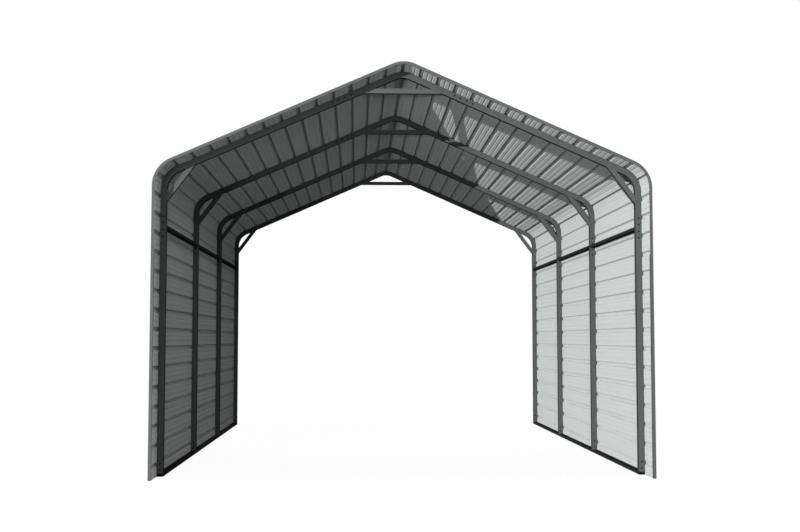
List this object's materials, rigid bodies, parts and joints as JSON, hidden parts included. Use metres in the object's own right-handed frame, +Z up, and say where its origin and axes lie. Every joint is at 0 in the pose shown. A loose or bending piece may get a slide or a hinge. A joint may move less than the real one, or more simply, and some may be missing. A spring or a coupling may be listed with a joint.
{
  "type": "carport",
  "caption": "Open-ended steel carport: bent square-tube frames on base rails, clad with ribbed metal sheets over a rounded gable roof and two full side walls, with capping trim at both ends.",
  "frame": {"origin": "centre of the footprint, at ground level", "axes": "+Z up, -Y towards the front opening, +X to the right as seen from the front"},
  "size_m": [3.9748, 6.04, 3.3123],
  "materials": {
    "sheet": "satin grey paint",
    "trim": "satin grey paint",
    "tube": "satin dark grey coat",
    "brace": "satin dark grey coat",
    "rail": "satin dark grey coat"
  },
  "bodies": {
    "root": {"back_braces": "brace", "back_left_post": "tube", "back_left_rafter": "tube", "back_left_trim": "trim", "back_ridge_bend": "tube", "back_right_post": "tube", "back_right_rafter": "tube", "back_right_trim": "trim", "front_braces": "brace", "front_left_post": "tube", "front_left_rafter": "tube", "front_left_trim": "trim", "front_ridge_bend": "tube", "front_right_post": "tube", "front_right_rafter": "tube", "front_right_trim": "trim", "left_base_rail": "rail", "left_eave_sheet": "sheet", "left_girts": "rail", "left_lower_wall_sheet": "sheet", "left_middle_wall_sheet": "sheet", "left_roof_sheet": "sheet", "left_upper_wall_sheet": "sheet", "ridge_sheet": "sheet", "right_base_rail": "rail", "right_eave_sheet": "sheet", "right_girts": "rail", "right_lower_wall_sheet": "sheet", "right_middle_wall_sheet": "sheet", "right_roof_sheet": "sheet", "right_upper_wall_sheet": "sheet", "second_braces": "brace", "second_left_post": "tube", "second_left_rafter": "tube", "second_ridge_bend": "tube", "second_right_post": "tube", "second_right_rafter": "tube", "third_braces": "brace", "third_left_post": "tube", "third_left_rafter": "tube", "third_ridge_bend": "tube", "third_right_post": "tube", "third_right_rafter": "tube"}
  },
  "joints": []
}
